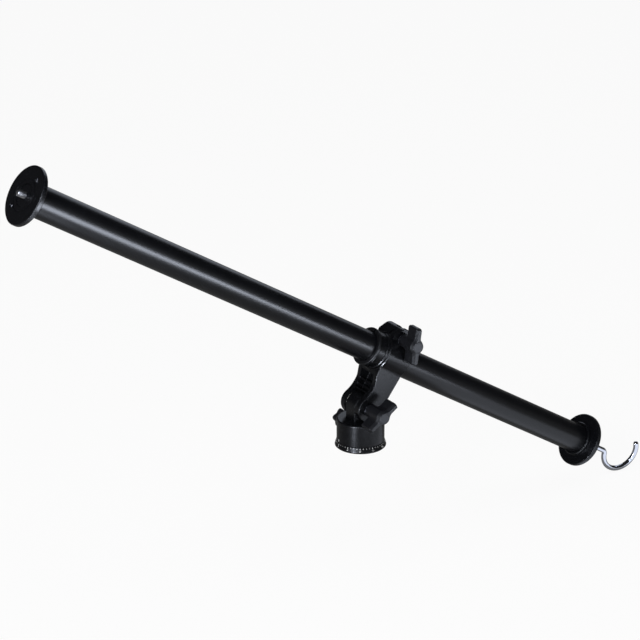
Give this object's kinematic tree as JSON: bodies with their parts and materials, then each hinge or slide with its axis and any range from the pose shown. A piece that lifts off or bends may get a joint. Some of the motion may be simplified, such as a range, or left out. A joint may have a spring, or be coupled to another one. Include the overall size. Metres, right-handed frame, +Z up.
{
  "type": "tripod extension arm",
  "caption": "Sliding round tube held in a split collar clamp on a tilting and panning base, with a screw plate at the upper end and a counterweight hook at the lower end.",
  "frame": {"origin": "centre of the base's bottom face, where the tripod's screw goes in", "axes": "+Z up along the panning axis; the tube lies in the XZ plane, its hook end towards +X and down; the two large lock knobs are on the -Y side"},
  "size_m": [0.7171, 0.0797, 0.4496],
  "materials": {
    "black_anodised": "satin black anodised aluminium",
    "black_casting": "black powder coated aluminium casting",
    "dial_black": "black anodised ring with a white scale",
    "knob_plastic": "black moulded glass-filled nylon",
    "knob_cap_grey": "dark grey snap-in cap",
    "liner_nylon": "black nylon",
    "slide_plastic": "natural acetal",
    "bright_steel": "bright zinc plated steel",
    "chrome": "polished chrome plated steel wire",
    "brass": "machined brass",
    "dark_steel": "black oxide steel"
  },
  "bodies": {
    "base": {"dial_ring": "dial_black", "dial_screw_1": "bright_steel", "dial_screw_2": "bright_steel", "dial_screw_3": "bright_steel", "pan_spindle": "bright_steel", "thread_insert": "bright_steel", "thrust_washer": "slide_plastic"},
    "pan_body": {"pan_housing": "black_casting", "spindle_ring": "brass", "tilt_bush": "brass"},
    "pan_brake": {"pan_shoe": "brass"},
    "pan_lock_knob": {"pan_knob": "knob_plastic", "pan_knob_cap": "knob_cap_grey", "pan_screw": "bright_steel"},
    "clamp_bracket": {"bracket": "black_casting", "tilt_bolt": "dark_steel", "clamp_bolt": "dark_steel", "friction_washer_near": "slide_plastic", "friction_washer_far": "slide_plastic"},
    "tilt_lock_washer": {"tilt_washer": "dark_steel"},
    "tilt_lock_knob": {"tilt_knob": "knob_plastic", "tilt_knob_cap": "knob_cap_grey", "tilt_knob_nut": "brass"},
    "clamp_lock_washer": {"clamp_washer": "dark_steel"},
    "clamp_lock_knob": {"clamp_knob": "knob_plastic", "clamp_knob_cap": "knob_cap_grey", "clamp_knob_nut": "brass"},
    "collar_liner": {"liner": "liner_nylon"},
    "arm": {"arm_tube": "black_anodised", "head_plate": "black_anodised", "stud_bush": "black_anodised", "head_stud": "bright_steel", "set_screw_1": "bright_steel", "set_screw_2": "bright_steel", "hook_plate": "black_anodised"},
    "hook_swivel": {"hook": "chrome", "hook_washer": "bright_steel", "hook_nut": "bright_steel"}
  },
  "joints": [
    {"name": "pan", "type": "hinge", "parent": "base", "child": "pan_body", "pos_m": [0, 0, 0], "axis": [0, 0, 1], "continuous": true},
    {"name": "pan_brake_slide", "type": "slide", "parent": "pan_body", "child": "pan_brake", "axis": [0, 1, 0], "range_m": [0, 0.00125]},
    {"name": "pan_knob_turn", "type": "hinge", "parent": "pan_brake", "child": "pan_lock_knob", "pos_m": [0, 0.03, 0.016], "axis": [0, 1, 0], "range_deg": [0, 460]},
    {"name": "tilt", "type": "hinge", "parent": "pan_body", "child": "clamp_bracket", "pos_m": [0, 0, 0.0423], "axis": [0, 1, 0], "range_deg": [-121, 53]},
    {"name": "tilt_washer_slide", "type": "slide", "parent": "clamp_bracket", "child": "tilt_lock_washer", "axis": [0, -1, 0], "range_m": [0, 0.00125]},
    {"name": "tilt_knob_turn", "type": "hinge", "parent": "tilt_lock_washer", "child": "tilt_lock_knob", "pos_m": [0, -0.03, 0.0423], "axis": [0, -1, 0], "range_deg": [0, 460]},
    {"name": "clamp_washer_slide", "type": "slide", "parent": "clamp_bracket", "child": "clamp_lock_washer", "axis": [0, -1, 0], "range_m": [0, 0.00125]},
    {"name": "clamp_knob_turn", "type": "hinge", "parent": "clamp_lock_washer", "child": "clamp_lock_knob", "pos_m": [0.04167, -0.025, 0.10557], "axis": [0, -1, 0], "range_deg": [0, 460]},
    {"name": "tube_turn", "type": "hinge", "parent": "clamp_bracket", "child": "collar_liner", "pos_m": [0.02841, 0, 0.0894], "axis": [0.8563, 0, -0.5165], "continuous": true},
    {"name": "tube_slide", "type": "slide", "parent": "collar_liner", "child": "arm", "axis": [0.8563, 0, -0.5165], "range_m": [-0.265, 0.4055]},
    {"name": "hook_turn", "type": "hinge", "parent": "arm", "child": "hook_swivel", "pos_m": [0.27801, 0, -0.06118], "axis": [0.8563, 0, -0.5165], "continuous": true}
  ],
  "couplings": [
    {"joint": "pan_knob_turn", "follows": "pan_brake_slide", "rad_per_m": 6283.2},
    {"joint": "tilt_knob_turn", "follows": "tilt_washer_slide", "rad_per_m": 6283.2},
    {"joint": "clamp_knob_turn", "follows": "clamp_washer_slide", "rad_per_m": 6283.2}
  ]
}
